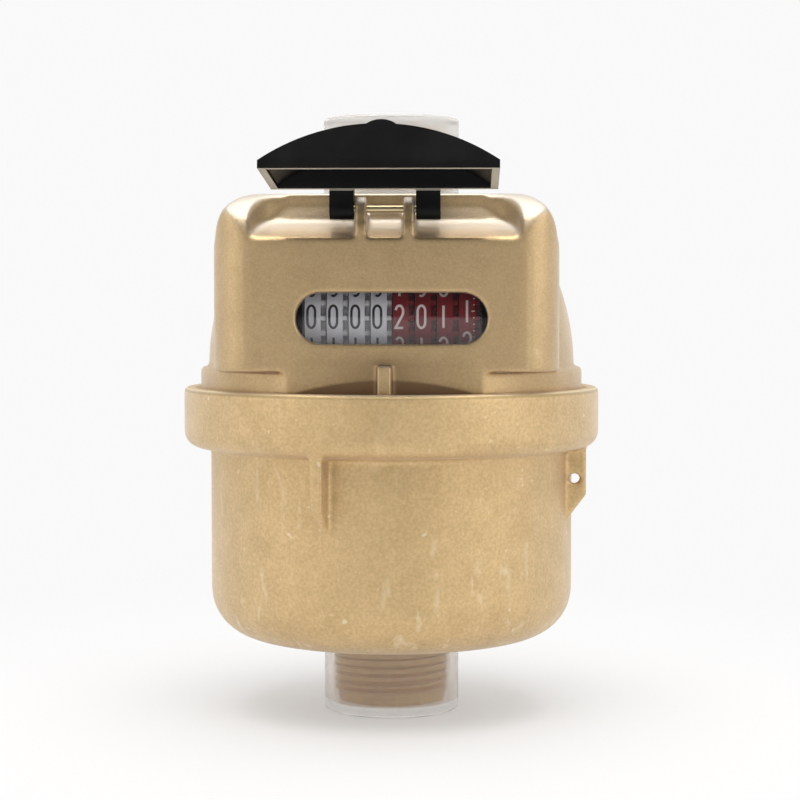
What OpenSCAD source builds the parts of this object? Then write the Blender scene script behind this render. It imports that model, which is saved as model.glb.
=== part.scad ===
// Rotary piston water meter for a vertical pipe.
// A brass cup with a threaded stub below carries a brass head with the register, a flip lid and
// the outlet stub above. Both stubs wear clear thread protectors. +Z is up, the window faces -Y,
// and the origin lies on the barrel's axis under the lower protector.

/* [Stubs and protectors] */
// Outside diameter of the stubs, G3/4
stub_d = 26.44; // [25:0.01:28]
// Water way through a stub
stub_bore_d = 15; // [12:0.5:18]
// Length of the lower stub below the cup
inlet_stub_l = 15.1; // [12:0.1:20]
// Length of the upper stub above the head
outlet_stub_l = 16.15; // [12:0.05:20]
// Closed floor of a protector
cap_floor = 2; // [1.5:0.1:4]
// Wall of a protector
cap_wall = 2; // [1:0.1:3]

/* [Cup and ring] */
// Outside diameter of the cup
cup_d = 82; // [80:0.5:88]
// Height of the cup from its bottom to the ring
cup_h = 43; // [41.5:0.1:50]
// Wall of the cup
cup_wall = 3.5; // [3:0.1:4]
// Radius round the bottom of the cup
cup_corner_r = 11; // [6:0.5:12]
// Outside diameter of the ring
ring_d = 94; // [92:0.5:104]
// Height of the ring
ring_h = 13.5; // [12:0.1:16]
// Radius on the ring's lower edge
ring_edge_r = 3.5; // [0.5:0.1:4]

/* [Gusset and seal lug] */
// Thickness of the gusset and of the lug
lug_t = 2.8; // [2:0.1:4]
// How far the gusset and the lug stand out from the cup
lug_reach = 4.2; // [3.5:0.1:6]
// Length of the lug below the ring
lug_l = 15.7; // [12:0.1:20]
// Length of the gusset below the ring
gusset_l = 17; // [12:0.1:20]
// Hole for the seal wire
seal_hole_d = 2.4; // [1.5:0.1:3]
// Side offset of the gusset, as an angle from the front
gusset_angle = 18.5; // [10:0.5:60]
// Distance of the lug in front of the barrel's axis
lug_front = 11; // [8:0.5:16]

/* [Head] */
// Height of the head above the ring
head_h = 42.25; // [41.5:0.05:46]
// Distance of the flat face in front of the barrel's axis
face_y = 38; // [37:0.1:39]
// Width of the register box
box_w = 73.8; // [71:0.1:75]
// Radius of the register box's upright edges
box_corner_r = 9; // [5:0.5:12]
// Radius round the top of the head
top_edge_r = 9; // [6:0.1:10]
// Diameter of the dome at its foot
dome_low_d = 82.8; // [82:0.1:84]
// Radius of the dome's flank, seen from the side
dome_curve_r = 53; // [48:1:60]
// Diameter of the base flange
flange_d = 86.4; // [86:0.1:88]
// Height of the base flange above the ring
flange_rise = 4.5; // [1:0.1:5]
// Height of the register box's underside above the ring
box_rise = 4.4; // [4:0.1:5]
// Wall round the register
head_wall = 3; // [2.5:0.1:3.5]

/* [Window] */
// Width of the window
window_w = 40.4; // [36:0.1:42]
// Height of the window
window_h = 10.75; // [8:0.05:12]
// Height of the window's centre above the ring
window_rise = 15.7; // [15.5:0.1:16.5]
// Side offset of the register
register_x = 1.4; // [0:0.1:2]

/* [Lid and hinge] */
// Width of the lid
lid_w = 47.4; // [44:0.1:52]
// Distance from the pin to the lid's near edge
lid_near = 4; // [3.6:0.1:4.5]
// Distance from the pin to the lid's far edge
lid_far = 32.7; // [28:0.1:32.7]
// Depth of the lid along its long edges
lid_side_h = 1.6; // [1.2:0.1:4]
// Rise of the lid's arch over its long edges
lid_arch_h = 7.2; // [4:0.1:9]
// Wall of the lid
lid_wall = 1.6; // [1:0.1:2]
// Upward tilt of the open lid
lid_tilt = 5.4; // [0:0.1:20]
// Diameter of the hinge pin
pin_d = 1.6; // [1.2:0.1:2]
// Width of the hinge trough
trough_w = 57; // [50:0.5:58]

/* [Register] */
// Diameter of a number drum
drum_d = 22; // [20:0.5:22]
// Distance from drum to drum
drum_pitch = 4.67; // [4.5:0.01:4.7]
// Number of drums
drum_count = 8; // [8:1:8]
// Diameter of the drum shaft
shaft_d = 3; // [2:0.1:4]
// Teeth of a drum's carry gear
gear_teeth = 20; // [20:1:20]
// Teeth of a transfer pinion
pinion_teeth = 8; // [8:1:8]

/* [Measuring chamber] */
// Inside diameter of the chamber
chamber_d = 49; // [47:0.5:50]
// Height inside the chamber
chamber_h = 25; // [22:0.5:25.5]
// Throw of the piston
piston_throw = 4.2; // [3:0.1:4.5]
// Wall of the chamber
chamber_wall = 3; // [2:0.1:3]

/* [Hidden] */
$fn = 72;

// Colours of the finishes
brass = "#c3a673";
dark_plastic = "#242224";
clear_plastic = "#d9d4c8";
white_plastic = "#c8c6c4";
red_plastic = "#6e2423";
grey_plastic = "#6a6c70";
steel = "#a8aaad";
rubber = "#1c1c1c";

// Clearances between pieces
push_gap = 0.1;
run_gap = 0.05;
free_gap = 0.3;

// Heights along the barrel's axis
inlet_z = cap_floor;
cup_z = inlet_z + inlet_stub_l;
ring_z = cup_z + cup_h;
ring_top = ring_z + ring_h;
head_top = ring_top + head_h;
outlet_z = head_top + outlet_stub_l;

// Seat of the head in the ring
flange_sink = 2.2;
spigot_l = 6;
seal_t = 1.8;
seal_w = 3;
rim_lip = 1.2;
flange_z = ring_top - flange_sink;
spigot_z = flange_z - spigot_l;
seal_z = spigot_z - seal_t;
cup_bore_r = cup_d / 2 - cup_wall;
flange_r = flange_d / 2;
spigot_r = flange_r - 2;
spigot_wall = 3.7;
spigot_bore_r = spigot_r - spigot_wall;
face_gap_z = spigot_z + 1;

// Stubs and protectors
stub_r = stub_d / 2;
stub_bore_r = stub_bore_d / 2;
thread_chamfer = 1.2;
cap_r = stub_r + push_gap + cap_wall;
cap_edge_r = 0.8;

// Register box and dome
box_z = ring_top + box_rise;
box_half = box_w / 2;
dome_low_r = dome_low_d / 2;
dome_foot_z = ring_top + flange_rise;
top_inset = 0.6;
brow_r = 10;

// Hinge
pin_r = pin_d / 2;
pivot_y = -face_y + 3.3;
pivot_z = head_top - 3.6;
knuckle_r = 2.2;
rib_in = 3.85;
rib_t = 2.4;
arm_in = rib_in + rib_t + free_gap;
arm_w = 5.1;
trough_low = head_top - 9.75;
trough_high = head_top - 6.15;
trough_back = pivot_y + 3.9;
trough_wall_top = head_top - 2.65;
trough_corner_r = 8;
lid_rim = face_y + pivot_y + free_gap;
lid_h = lid_side_h + lid_arch_h;
lid_arch_r = (pow(lid_w / 2, 2) + pow(lid_arch_h, 2)) / (2 * lid_arch_h);
arm_h = lid_rim + 2.6;
nub_w = 2.9;
nub_reach = 3.1;
nub_top = pivot_z - lid_far - free_gap;

// Register pocket and water way of the head
window_z = ring_top + window_rise;
drum_r = drum_d / 2;
gasket_t = 0.6;
glass_t = 1;
glass_lap = 2.6;
glass_gap = 0.4;
pocket_y = -face_y + head_wall;
glass_y = pocket_y + gasket_t;
drum_y = pocket_y + gasket_t + glass_t + glass_gap + drum_r;
pocket_half = 30;
pocket_z = box_z + 0.8;
pocket_top = window_z + drum_r + 1.5;
pocket_back = drum_y + drum_r + 0.6;
low_pocket_r = spigot_bore_r - 0.5;
low_pocket_back = -3;
low_pocket_top = pocket_z + 2;
floor_t = 2.5;
floor_ledge = 1.5;
floor_r = low_pocket_r + floor_ledge;
floor_back = low_pocket_back + floor_ledge;
cavity_front = floor_back + 2.5;
cavity_top = head_top - 6.5;
cavity_r = box_half - 6;
upper_front = pocket_back + head_wall;
upper_foot = low_pocket_top + head_wall;

// Drums, their gears and the pinions below them
drum_gap = 0.27;
drum_w = drum_pitch - drum_gap;
gear_w = 1;
rim_w = drum_w - gear_w;
rim_t = 1.6;
shaft_r = shaft_d / 2;
gear_module = (drum_d - 2) / gear_teeth;
gear_tip_r = drum_r - 0.3;
gear_root_r = drum_r - 2.1;
pinion_pitch_r = gear_module * pinion_teeth / 2;
pinion_tip_r = pinion_pitch_r + 0.6;
pinion_root_r = pinion_pitch_r - 1.2;
pinion_shaft_r = 0.8;
pinion_z = window_z - gear_module * (gear_teeth + pinion_teeth) / 2;
pack_w = drum_count * drum_pitch;
pack_x = register_x - pack_w / 2;
frame_t = 1.6;
frame_gap = 0.25;

// Measuring chamber, set forward so that its drive stands under the register
chamber_r = chamber_d / 2;
case_r = chamber_r + chamber_wall;
case_gap = 1;
chamber_y = case_r + case_gap - cup_bore_r;
case_z = cup_z + cup_wall + 7.5;
case_floor = case_z + chamber_wall;
case_top = case_floor + chamber_h;
cover_t = 3;
cover_top = case_top + cover_t;
inlet_port = [4, 12];
inlet_port_r = 2.4;
outlet_port = [-6.5, 16];
outlet_port_r = 4;
collar_r = stub_bore_r + 2.5;
piston_r = chamber_r - piston_throw - free_gap;
piston_wall = 6;
piston_bore_r = piston_r - piston_wall;
boss_r = piston_bore_r - piston_throw - free_gap;
web_t = 2;
web_z = case_floor + chamber_h / 2 - web_t / 2;
plate_t = 2;
slot_w = 2 * piston_throw + plate_t + 2 * free_gap;
peg_r = 1.5;
crank_r = boss_r - 1.5;
crank_t = 3.5;
crank_z = web_z + web_t + 3;
crank_shaft_r = 2;
magnet_r = 5;

// Points along an arc, from one angle to another
function arc(cx, cy, r, a0, a1, n) =
    [for (i = [0:n]) [cx + r * cos(a0 + (a1 - a0) * i / n), cy + r * sin(a0 + (a1 - a0) * i / n)]];

// A plate outline that lies in the X-Z plane, thickened from y along +Y
module upright(y, t) {
    translate([0, y + t, 0]) rotate([90, 0, 0]) linear_extrude(t) children();
}

// An outline drawn in Y and Z, thickened along +X from x
module sideways(x, t) {
    translate([x, 0, 0]) rotate([90, 0, 90]) linear_extrude(t) children();
}

// A flat-sided slot with round ends, centred in the X-Y plane
module stadium(w, h) {
    square([w - h, h], center = true);
    for (s = [-1, 1]) translate([s * (w - h) / 2, 0]) circle(d = h);
}

// A cylinder that lies along +X from x
module shaft_x(x, y, z, r, l) {
    translate([x, y, z]) rotate([0, 90, 0]) cylinder(r = r, h = l);
}

// A gear outline with straight flanks that narrow to the tip
module gear_outline(teeth, root_r, tip_r, root_share, tip_share) {
    step = 360 / teeth;
    circle(r = root_r);
    for (i = [0:teeth - 1]) rotate(i * step) polygon([
        root_r * 0.97 * [cos(step * root_share / 2), -sin(step * root_share / 2)],
        tip_r * [cos(step * tip_share / 2), -sin(step * tip_share / 2)],
        tip_r * [cos(step * tip_share / 2), sin(step * tip_share / 2)],
        root_r * 0.97 * [cos(step * root_share / 2), sin(step * root_share / 2)]
    ]);
}

// Outside of the cup, ring and lower stub as one turned outline
module cup_outline() {
    r = cup_d / 2;
    e = ring_edge_r;
    ring_r = ring_d / 2;
    polygon(concat(
        [[0, inlet_z], [stub_r - thread_chamfer, inlet_z], [stub_r, inlet_z + thread_chamfer]],
        [[stub_r, cup_z]],
        arc(r - cup_corner_r, cup_z + cup_corner_r, cup_corner_r, -90, 0, 10),
        [[r, ring_z - 1], [r + 1, ring_z]],
        arc(ring_r - e, ring_z + e, e, -90, 0, 5),
        arc(ring_r - 1, ring_top - 1, 1, 0, 90, 3),
        [[0, ring_top]]
    ));
}

// Hollow of the cup: water way, chamber space, seat of the seal, thread and flange recess
module cup_hollow() {
    inner_r = cup_corner_r - cup_wall;
    floor_z = cup_z + cup_wall;
    polygon(concat(
        [[0, inlet_z - 1], [stub_bore_r, inlet_z - 1], [stub_bore_r, floor_z]],
        arc(cup_bore_r - inner_r, floor_z + inner_r, inner_r, -90, 0, 6),
        [[cup_bore_r, seal_z], [spigot_r + push_gap, seal_z], [spigot_r + push_gap, flange_z]],
        [[flange_r + push_gap, flange_z], [flange_r + push_gap, ring_top - rim_lip]],
        [[flange_r + push_gap + rim_lip, ring_top], [flange_r + push_gap + rim_lip, ring_top + 1]],
        [[0, ring_top + 1]]
    ));
}

// Side outline of the gusset and the lug: u runs outwards from the cup's wall, v up
module lug_outline(l) {
    root = 2;
    polygon([
        [-root, ring_z + 1], [lug_reach, ring_z + 1], [lug_reach, ring_z - l * 0.65],
        [0, ring_z - l], [-root, ring_z - l]
    ]);
}

// Strainer seat in the lower stub
strainer_lip = 1;
strainer_lip_r = stub_bore_r + 1.5;

module body() {
    lug_root_x = sqrt(pow(cup_d / 2, 2) - pow(lug_front, 2));
    lug_back = lug_front - lug_t / 2;
    seal_hole_x = sqrt(pow(cup_d / 2, 2) - pow(lug_back, 2)) + seal_hole_d / 2 + push_gap;
    seal_hole_z = ring_z - lug_l * 0.42;
    color(brass) difference() {
        union() {
            rotate_extrude() cup_outline();
            rotate([0, 0, -90 - gusset_angle])
                upright(-lug_t / 2, lug_t) translate([cup_d / 2, 0]) lug_outline(gusset_l);
            upright(-lug_front - lug_t / 2, lug_t) translate([lug_root_x, 0]) lug_outline(lug_l);
        }
        rotate_extrude() cup_hollow();
        translate([0, 0, inlet_z - 1]) cylinder(r = strainer_lip_r + push_gap, h = strainer_lip + 1);
        translate([seal_hole_x, -lug_back + run_gap, seal_hole_z])
            rotate([90, 0, 0]) cylinder(d = seal_hole_d, h = lug_t + 1);
    }
}

// Turned outline of the dome: spigot, flange, curved flank, then a barrel as wide as the box
module dome_outline() {
    curve_x = dome_low_r - dome_curve_r;
    curve_end = acos((box_half - curve_x) / dome_curve_r);
    polygon(concat(
        [[0, spigot_z], [spigot_r, spigot_z], [spigot_r, flange_z], [flange_r, flange_z]],
        arc(flange_r - 0.8, dome_foot_z - 0.8, 0.8, 0, 90, 3),
        arc(curve_x, dome_foot_z, dome_curve_r, 0, curve_end, 8),
        arc(box_half - top_inset - top_edge_r, head_top - top_edge_r, top_edge_r, 0, 90, 8),
        [[0, head_top]]
    ));
}

// Register box in front of the dome, rounded round its upright edges and over its top
module register_box() {
    depth = face_y;
    h = head_top - box_z;
    intersection() {
        translate([0, 0, box_z]) linear_extrude(h) polygon(concat(
            [[-box_half, 0]],
            arc(-box_half + box_corner_r, -face_y + box_corner_r, box_corner_r, 180, 270, 8),
            arc(box_half - box_corner_r, -face_y + box_corner_r, box_corner_r, 270, 360, 8),
            [[box_half, 0]]
        ));
        upright(-face_y - 1, depth + 2) polygon(concat(
            [[-box_half - 1, box_z - 1], [box_half + 1, box_z - 1]],
            [[box_half + 1, head_top - top_edge_r - 4]],
            arc(box_half - top_inset - top_edge_r, head_top - top_edge_r, top_edge_r, 0, 90, 8),
            arc(-box_half + top_inset + top_edge_r, head_top - top_edge_r, top_edge_r, 90, 180, 8),
            [[-box_half - 1, head_top - top_edge_r - 4]]
        ));
        sideways(-box_half - 1, box_w + 2) polygon(concat(
            [[1, box_z - 1], [1, head_top]],
            arc(-face_y + brow_r, head_top - brow_r, brow_r, 90, 180, 10),
            [[-face_y, box_z - 1]]
        ));
    }
}

// Cut for the hinge trough: a sloping floor, a steep back wall and round back corners
module trough_cut() {
    front = -face_y - 1;
    corner_x = trough_w / 2 - trough_corner_r;
    corner_y = trough_back + 1 - trough_corner_r;
    intersection() {
        sideways(-trough_w / 2, trough_w) polygon([
            [front, trough_low], [-face_y, trough_low], [trough_back, trough_high],
            [trough_back + 1, trough_wall_top], [trough_back + 1, head_top + 1], [front, head_top + 1]
        ]);
        translate([0, 0, trough_low - 1]) linear_extrude(head_top) polygon(concat(
            [[-trough_w / 2, front]],
            [[trough_w / 2, front]],
            arc(corner_x, corner_y, trough_corner_r, 0, 90, 6),
            arc(-corner_x, corner_y, trough_corner_r, 90, 180, 6)
        ));
    }
}

// Hinge ribs, flush with the face and round at the top
module hinge_ribs() {
    rib_r = 2.6;
    for (s = [-1, 1]) {
        sideways(s > 0 ? rib_in : -rib_in - rib_t, rib_t) polygon(concat(
            [[-face_y, trough_low - 2], [trough_back + 0.6, trough_low - 2]],
            [[trough_back + 0.6, pivot_z - 1.5]],
            arc(pivot_y, pivot_z, rib_r, 0, 180, 8),
            [[-face_y, pivot_z - 4]]
        ));
    }
}

// Dry pocket for the register: wide behind the window, round below it where the spigot is
module register_pocket() {
    translate([-pocket_half, pocket_y, pocket_z])
        cube([2 * pocket_half, pocket_back - pocket_y, pocket_top - pocket_z]);
    intersection() {
        translate([0, 0, spigot_z - 1]) cylinder(r = low_pocket_r, h = low_pocket_top - spigot_z + 1);
        translate([-floor_r, pocket_y, spigot_z - 2])
            cube([2 * floor_r, low_pocket_back - pocket_y, low_pocket_top]);
    }
    floor_shape(push_gap, floor_t + 1);
}

// D-shaped plate outline that closes the pocket from below
module floor_shape(gap, t) {
    intersection() {
        translate([0, 0, spigot_z + floor_t - t]) cylinder(r = floor_r + gap, h = t);
        translate([-floor_r - 1, pocket_y - floor_ledge - gap, spigot_z - 2])
            cube([2 * floor_r + 2, floor_back - pocket_y + floor_ledge + 2 * gap, floor_t + 4]);
    }
}

// Water way behind and over the back of the pocket, up to the bore of the upper stub
module water_way() {
    intersection() {
        rotate_extrude() polygon([
            [0, spigot_z - 1], [spigot_bore_r, spigot_z - 1], [spigot_bore_r, ring_top + 4],
            [cavity_r + 3, cavity_top - 6], [cavity_r - 3, cavity_top], [0, cavity_top]
        ]);
        union() {
            translate([-cup_d / 2, cavity_front, spigot_z - 2]) cube([cup_d, cup_d / 2, head_top]);
            translate([-cup_d / 2, upper_front, upper_foot]) cube([cup_d, cup_d, head_top]);
        }
    }
    translate([0, 0, cavity_top - 1]) cylinder(r = stub_bore_r, h = outlet_z - cavity_top + 2);
}

module head() {
    stub_h = outlet_z - head_top;
    color(brass) difference() {
        union() {
            difference() {
                rotate_extrude() dome_outline();
                translate([-cup_d, -face_y - cup_d, face_gap_z]) cube([2 * cup_d, cup_d, head_top]);
            }
            difference() {
                register_box();
                trough_cut();
            }
            hinge_ribs();
            translate([-nub_w / 2, -face_y - nub_reach, face_gap_z])
                cube([nub_w, nub_reach + 1, nub_top - face_gap_z]);
            translate([0, 0, head_top - 1]) cylinder(r = stub_r, h = stub_h + 1 - thread_chamfer);
            translate([0, 0, outlet_z - thread_chamfer])
                cylinder(r1 = stub_r, r2 = stub_r - thread_chamfer, h = thread_chamfer);
        }
        difference() {
            trough_cut();
            hinge_ribs();
        }
        register_pocket();
        water_way();
        upright(-face_y - 1, head_wall + 2)
            translate([register_x, window_z]) stadium(window_w, window_h);
        shaft_x(-rib_in - rib_t - 1, pivot_y, pivot_z, pin_r + run_gap / 2, 2 * (rib_in + rib_t) + 2);
    }
}

// Lid outline across the arch
module lid_outline(w, arch_r, top, rim) {
    intersection() {
        translate([-w / 2, rim]) square([w, top - rim]);
        translate([0, top - arch_r]) circle(r = arch_r, $fn = 144);
    }
}

module lid() {
    top = lid_rim + lid_h;
    inner_l = lid_far - lid_near - 2 * lid_wall;
    bump_w = 5.6;
    bump_l = 8;
    bump_h = 0.8;
    bump_x = 0.5;
    bump_r = (pow(bump_w / 2, 2) + pow(bump_h, 2)) / (2 * bump_h);
    color(dark_plastic) translate([0, pivot_y, pivot_z]) rotate([-lid_tilt, 0, 0]) difference() {
        union() {
            difference() {
                upright(-lid_far, lid_far - lid_near) lid_outline(lid_w, lid_arch_r, top, lid_rim);
                upright(-lid_far + lid_wall, inner_l)
                    lid_outline(lid_w - 2 * lid_wall, lid_arch_r - lid_wall, top - lid_wall, lid_rim - 1);
            }
            upright(-lid_far, bump_l) intersection() {
                translate([bump_x, top + bump_h - bump_r]) circle(r = bump_r);
                translate([bump_x - bump_w / 2, top - lid_wall / 2]) square([bump_w, lid_wall]);
            }
            for (x = [-arm_in - arm_w, arm_in]) {
                shaft_x(x, 0, 0, knuckle_r, arm_w);
                sideways(x, arm_w) polygon([
                    [-knuckle_r, 0], [knuckle_r, 0], [knuckle_r, arm_h], [-lid_near - lid_wall, arm_h],
                    [-lid_near - lid_wall, lid_rim], [-knuckle_r, lid_rim]
                ]);
            }
        }
        shaft_x(-arm_in - arm_w - 1, 0, 0, pin_r + run_gap, 2 * (arm_in + arm_w) + 2);
    }
}

module hinge_pin() {
    l = arm_in + arm_w - 0.5;
    color(steel) shaft_x(-l, pivot_y, pivot_z, pin_r, 2 * l);
}

// Plate or ring behind the window
module window_plate(y, t, hole) {
    upright(y, t) translate([register_x, window_z]) difference() {
        stadium(window_w + 2 * glass_lap, window_h + 2 * glass_lap);
        if (hole) stadium(window_w + 0.6, window_h + 0.6);
    }
}

module window_glass() {
    color(clear_plastic, 0.4) window_plate(glass_y, glass_t, false);
}

module window_gasket() {
    color(rubber) window_plate(pocket_y, gasket_t, true);
}

// Protector with its floor down and its mouth up
module protector(h) {
    inner = stub_r + push_gap;
    rotate_extrude() polygon(concat(
        [[0, 0]],
        arc(cap_r - cap_edge_r, cap_edge_r, cap_edge_r, -90, 0, 4),
        [[cap_r, h], [inner, h], [inner, cap_floor], [0, cap_floor]]
    ));
}

module inlet_cap() {
    color(clear_plastic, 0.5) protector(cup_z - 0.4);
}

module outlet_cap() {
    h = outlet_z + cap_floor - head_top - 0.4;
    color(clear_plastic, 0.5) translate([0, 0, outlet_z + cap_floor]) mirror([0, 0, 1]) protector(h);
}

module head_seal() {
    color(rubber) translate([0, 0, seal_z]) difference() {
        cylinder(r = spigot_r, h = seal_t);
        translate([0, 0, -1]) cylinder(r = spigot_r - seal_w, h = seal_t + 2);
    }
}

module inlet_strainer() {
    r = stub_bore_r - push_gap;
    wall = 0.8;
    h = inlet_stub_l - 2;
    color(white_plastic) translate([0, 0, inlet_z]) difference() {
        union() {
            cylinder(r = strainer_lip_r, h = strainer_lip);
            cylinder(r = r, h = h);
        }
        translate([0, 0, -1]) cylinder(r = r - wall, h = h + 1 - wall);
        for (a = [0:45:135]) rotate([0, 0, a])
            translate([-stub_bore_d, -0.9, 3]) cube([2 * stub_bore_d, 1.8, h - 5]);
    }
}

module chamber_case() {
    color(grey_plastic) difference() {
        union() {
            translate([0, chamber_y, case_z]) difference() {
                cylinder(r = case_r, h = case_top - case_z);
                translate([0, 0, chamber_wall]) cylinder(r = chamber_r, h = chamber_h + 1);
            }
            translate([0, chamber_y, case_z]) cylinder(r = boss_r, h = web_z - case_z - free_gap);
            translate([0, 0, cup_z + cup_wall]) cylinder(r = collar_r, h = case_z - cup_z - cup_wall + 1);
        }
        translate([0, 0, cup_z]) cylinder(r = stub_bore_r, h = case_z - cup_z);
        translate([inlet_port[0], chamber_y + inlet_port[1], case_z - 1])
            cylinder(r = inlet_port_r, h = chamber_wall + 2);
    }
}

module chamber_cover() {
    post_r = 2.5;
    post_inset = 6;
    color(grey_plastic) translate([0, chamber_y, 0]) difference() {
        union() {
            translate([0, 0, case_top]) cylinder(r = case_r, h = cover_t);
            for (a = [210, 270, 330]) rotate([0, 0, a])
                translate([case_r - post_inset, 0, case_top]) cylinder(r = post_r, h = spigot_z - case_top);
        }
        translate([0, 0, case_top - 1]) cylinder(r = crank_shaft_r + run_gap, h = cover_t + 2);
        translate([outlet_port[0], outlet_port[1], case_top - 1])
            cylinder(r = outlet_port_r, h = cover_t + 2);
    }
}

module division_plate() {
    inner = boss_r + push_gap;
    outer = chamber_r - push_gap;
    color(steel) translate([-plate_t / 2, chamber_y + inner, case_floor])
        cube([plate_t, outer - inner, chamber_h]);
}

// Piston of H section with a slot for the division plate, at the front of its orbit
module rotary_piston() {
    h = chamber_h - 2 * free_gap;
    color(dark_plastic) translate([0, chamber_y - piston_throw, case_floor + free_gap]) {
        difference() {
            cylinder(r = piston_r, h = h);
            difference() {
                translate([0, 0, -1]) cylinder(r = piston_bore_r, h = h + 2);
                translate([0, 0, web_z - case_floor - free_gap]) cylinder(r = piston_bore_r + 1, h = web_t);
            }
            translate([-slot_w / 2, boss_r - piston_throw - 2 * free_gap, -1])
                cube([slot_w, piston_r, h + 2]);
        }
        translate([0, 0, web_z - case_floor - free_gap])
            cylinder(r = peg_r, h = crank_z + crank_t - web_z);
    }
}

module drive_crank() {
    color(white_plastic) translate([0, chamber_y, 0]) {
        difference() {
            translate([0, 0, crank_z]) cylinder(r = crank_r, h = crank_t);
            translate([0, -piston_throw, crank_z - 1]) cylinder(r = peg_r + run_gap, h = crank_t + 2);
        }
        translate([0, 0, crank_z + crank_t])
            cylinder(r = crank_shaft_r, h = cover_top - crank_z - crank_t + 1);
        translate([0, 0, cover_top + free_gap])
            cylinder(r = magnet_r, h = spigot_z - cover_top - 2 * free_gap);
    }
}

module register_floor() {
    color(grey_plastic) floor_shape(0, floor_t);
}

// Side outline of an end plate of the register frame
module end_plate_outline() {
    foot = spigot_z + floor_t;
    step_z = pocket_z + 0.5;
    back = pocket_back - 0.5;
    polygon([
        [drum_y - 5, foot], [back - 3, foot], [back - 3, step_z], [back, step_z + 3],
        [back, window_z + 3], [drum_y + 3, window_z + 6], [glass_y + glass_t, window_z + 6],
        [glass_y + glass_t, step_z + 3], [drum_y - 5, step_z]
    ]);
}

module register_frame() {
    left = pack_x - frame_gap - frame_t;
    right = pack_x + pack_w + frame_gap;
    bar_z = spigot_z + floor_t;
    bar_h = pinion_z - pinion_tip_r - 0.4 - bar_z;
    color(grey_plastic) difference() {
        union() {
            for (x = [left, right]) sideways(x, frame_t) end_plate_outline();
            translate([left, drum_y - 5, bar_z]) cube([right - left + frame_t, 10, bar_h]);
        }
        shaft_x(left - 1, drum_y, window_z, shaft_r, right - left + frame_t + 2);
        shaft_x(left - 1, drum_y, pinion_z, pinion_shaft_r, right - left + frame_t + 2);
    }
}

// Sealed reduction gear between the magnet drive and the first drum
module register_gearbox() {
    z = spigot_z + floor_t;
    left = -magnet_r - 2;
    right = pack_x + pack_w + frame_gap + frame_t + 0.2;
    back = low_pocket_back - 0.6;
    front = pocket_back - 3.2;
    riser_front = drum_y - 2.5;
    riser_w = 4.5;
    riser_l = 11.5;
    color(dark_plastic) {
        translate([left, front, z]) cube([right + riser_w - left, back - front, 8]);
        translate([right, riser_front, z]) cube([riser_w, front + 1 - riser_front, 8]);
        translate([right, riser_front, z]) cube([riser_w, riser_l, window_z + 3 - z]);
    }
}

module drum_shaft() {
    left = pack_x - frame_gap - frame_t;
    color(steel) shaft_x(left, drum_y, window_z, shaft_r, pack_w + 2 * (frame_gap + frame_t));
}

module pinion_shaft() {
    left = pack_x - frame_gap - frame_t;
    color(steel) shaft_x(left, drum_y, pinion_z, pinion_shaft_r, pack_w + 2 * (frame_gap + frame_t));
}

// Number drum: a rim for the figures, then the carry gear on its right
module number_drum(i) {
    x = pack_x + (i - 1) * drum_pitch + drum_gap / 2;
    hub_r = shaft_r + 1.3;
    color(i <= 4 ? white_plastic : red_plastic) translate([x, drum_y, window_z]) rotate([0, 90, 0])
        difference() {
            union() {
                difference() {
                    cylinder(r = drum_r, h = rim_w);
                    translate([0, 0, -1]) cylinder(r = drum_r - rim_t, h = rim_w + 1);
                }
                translate([0, 0, rim_w]) linear_extrude(gear_w)
                    gear_outline(gear_teeth, gear_root_r, gear_tip_r, 0.5, 0.28);
                cylinder(r = hub_r, h = rim_w + 0.1);
            }
            translate([0, 0, -1]) cylinder(r = shaft_r + run_gap, h = drum_w + 2);
        }
}

// Transfer pinion under a drum's carry gear
module transfer_pinion(i) {
    x = pack_x + (i - 1) * drum_pitch + drum_gap / 2 + rim_w + 0.1;
    color(white_plastic) translate([x, drum_y, pinion_z]) rotate([0, 90, 0]) difference() {
        rotate(180 / pinion_teeth) linear_extrude(gear_w - 0.2)
            gear_outline(pinion_teeth, pinion_root_r, pinion_tip_r, 0.42, 0.24);
        translate([0, 0, -1]) cylinder(r = pinion_shaft_r + run_gap, h = gear_w + 2);
    }
}

body();
head();
lid();
hinge_pin();
window_glass();
window_gasket();
inlet_cap();
outlet_cap();
head_seal();
inlet_strainer();
chamber_case();
chamber_cover();
division_plate();
rotary_piston();
drive_crank();
register_floor();
register_frame();
register_gearbox();
drum_shaft();
pinion_shaft();
for (i = [1:drum_count]) number_drum(i);
for (i = [1:drum_count - 1]) transfer_pinion(i);
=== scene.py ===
import math

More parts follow.
